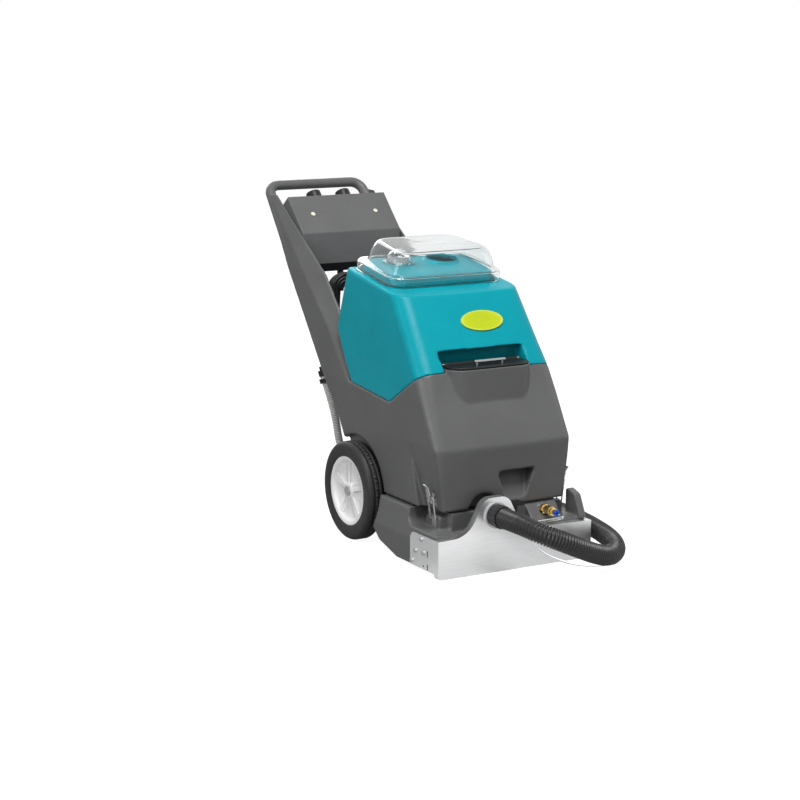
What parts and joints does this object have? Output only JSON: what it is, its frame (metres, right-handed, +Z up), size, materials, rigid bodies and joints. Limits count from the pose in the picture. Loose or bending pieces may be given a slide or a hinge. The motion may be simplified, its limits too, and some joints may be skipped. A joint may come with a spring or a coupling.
{
  "type": "carpet cleaning machine",
  "caption": "Walk-behind carpet extractor: ribbed hose and steel suction shoe in front, lift-off recovery tank with clear dome lid on a tilting solution tank, spoked wheels, sloped handle.",
  "frame": {"origin": "middle of the machine's footprint on the floor", "axes": "+Z up, the suction shoe faces -Y, the handle is at +Y, +X is the hose side"},
  "size_m": [0.5348, 1.2732, 0.87],
  "materials": {
    "grey_shell": "moulded, fine grain",
    "teal_shell": "moulded, satin",
    "clear": "clear moulded plastic",
    "stainless": "brushed sheet",
    "steel": "plated",
    "bright": "polished",
    "brass": "machined",
    "black_plastic": "moulded",
    "black_rubber": "matt",
    "tyre": "matt",
    "white_plastic": "moulded",
    "pale_hose": "ribbed",
    "blue_plastic": "moulded",
    "lime": "printed plate, bare",
    "motor": "painted",
    "bristle": "filament"
  },
  "bodies": {
    "base": {"base_housing": "grey_shell", "vacuum_shoe": "stainless", "shoe_bolts": "steel", "hose_collar": "steel", "hose_cuff": "black_rubber", "vacuum_hose": "black_rubber", "elbow_cuff": "black_rubber", "cuff_retainer": "black_plastic", "brass_coupler": "brass", "blue_collet": "blue_plastic", "outlet_fitting": "brass", "solution_tube": "clear", "spray_bar": "steel", "solution_pump": "black_plastic", "brush_motor": "motor", "vacuum_motor": "motor", "brush_bushes": "brass", "drive_belt": "black_rubber", "split_seal": "black_rubber", "stub_axles": "steel", "base_hinge": "steel", "latch_keepers": "white_plastic"},
    "upper_body": {"solution_tank": "grey_shell", "flap_pin": "steel", "tank_hinge": "steel", "latch_plates": "steel", "handle_frame": "grey_shell", "console": "grey_shell", "console_screws": "brass", "console_tray": "black_plastic", "cord_hook": "black_plastic", "cord_gland": "black_plastic", "power_cord": "black_rubber", "plug": "black_rubber", "drain_spigot": "black_plastic", "drain_hose": "pale_hose", "drain_plug": "black_rubber", "hose_clip": "black_plastic"},
    "left_wheel": {"left_disc": "white_plastic", "left_tyre": "tyre"},
    "right_wheel": {"right_disc": "white_plastic", "right_tyre": "tyre"},
    "brush": {"brush_core": "black_plastic", "brush_bristles": "bristle"},
    "motor_drive": {"motor_pulley": "steel"},
    "flap": {"filler_flap": "black_plastic", "flap_pull": "bright"},
    "left_latch_lever": {"left_lever": "steel"},
    "left_latch_strap": {"left_strap": "steel"},
    "right_latch_lever": {"right_lever": "steel"},
    "right_latch_strap": {"right_strap": "steel"},
    "left_dial": {"left_knob": "black_plastic"},
    "right_dial": {"right_knob": "black_plastic"},
    "recovery": {"recovery_tank": "teal_shell", "badge_plate": "lime", "stand_pipes": "clear", "deflector_dome": "clear"},
    "float": {"float_ball": "white_plastic"},
    "lid": {"dome_lid": "clear", "lid_seal": "black_rubber"}
  },
  "joints": [
    {"name": "body_tilt", "type": "hinge", "parent": "base", "child": "upper_body", "pos_m": [0, 0.016, 0.15], "axis": [-1, 0, 0], "range_deg": [0, 50]},
    {"name": "left_wheel_spin", "type": "hinge", "parent": "base", "child": "left_wheel", "pos_m": [-0.202, -0.081, 0.127], "axis": [1, 0, 0], "continuous": true},
    {"name": "right_wheel_spin", "type": "hinge", "parent": "base", "child": "right_wheel", "pos_m": [0.202, -0.081, 0.127], "axis": [1, 0, 0], "continuous": true},
    {"name": "brush_spin", "type": "hinge", "parent": "base", "child": "brush", "pos_m": [0, -0.4, 0.036], "axis": [1, 0, 0], "continuous": true},
    {"name": "motor_spin", "type": "hinge", "parent": "base", "child": "motor_drive", "pos_m": [-0.175, -0.294, 0.066], "axis": [1, 0, 0], "continuous": true},
    {"name": "flap_hinge", "type": "hinge", "parent": "upper_body", "child": "flap", "pos_m": [0, -0.366, 0.487], "axis": [-1, 0, 0], "range_deg": [0, 65]},
    {"name": "left_knob_turn", "type": "hinge", "parent": "upper_body", "child": "left_dial", "pos_m": [-0.045, 0.4215, 0.8115], "axis": [0, 0.5903, 0.8072], "range_deg": [0, 270]},
    {"name": "right_knob_turn", "type": "hinge", "parent": "upper_body", "child": "right_dial", "pos_m": [0.045, 0.4215, 0.8115], "axis": [0, 0.5903, 0.8072], "range_deg": [0, 270]},
    {"name": "recovery_lift", "type": "slide", "parent": "upper_body", "child": "recovery", "axis": [0, 0, 1], "range_m": [0, 0.32]},
    {"name": "lid_lift", "type": "slide", "parent": "recovery", "child": "lid", "axis": [0, -0.162, 0.9868], "range_m": [0, 0.15]},
    {"name": "float_rise", "type": "slide", "parent": "recovery", "child": "float", "axis": [0, 0, 1], "range_m": [0, 0.02]},
    {"name": "left_lever_hinge", "type": "hinge", "parent": "upper_body", "child": "left_latch_lever", "pos_m": [-0.18948, -0.446, 0.17403], "axis": [0, -1, 0], "range_deg": [0, 150]},
    {"name": "left_strap_hinge", "type": "hinge", "parent": "left_latch_lever", "child": "left_latch_strap", "pos_m": [-0.19037, -0.446, 0.18351], "axis": [0, -1, 0], "range_deg": [-150, 0]},
    {"name": "right_lever_hinge", "type": "hinge", "parent": "upper_body", "child": "right_latch_lever", "pos_m": [0.18948, -0.446, 0.17403], "axis": [0, 1, 0], "range_deg": [0, 150]},
    {"name": "right_strap_hinge", "type": "hinge", "parent": "right_latch_lever", "child": "right_latch_strap", "pos_m": [0.19037, -0.446, 0.18351], "axis": [0, 1, 0], "range_deg": [-150, 0]}
  ],
  "couplings": [
    {"joint": "motor_spin", "follows": "brush_spin", "ratio": 1.5385},
    {"joint": "left_strap_hinge", "follows": "left_lever_hinge", "ratio": -1},
    {"joint": "right_strap_hinge", "follows": "right_lever_hinge", "ratio": -1}
  ]
}
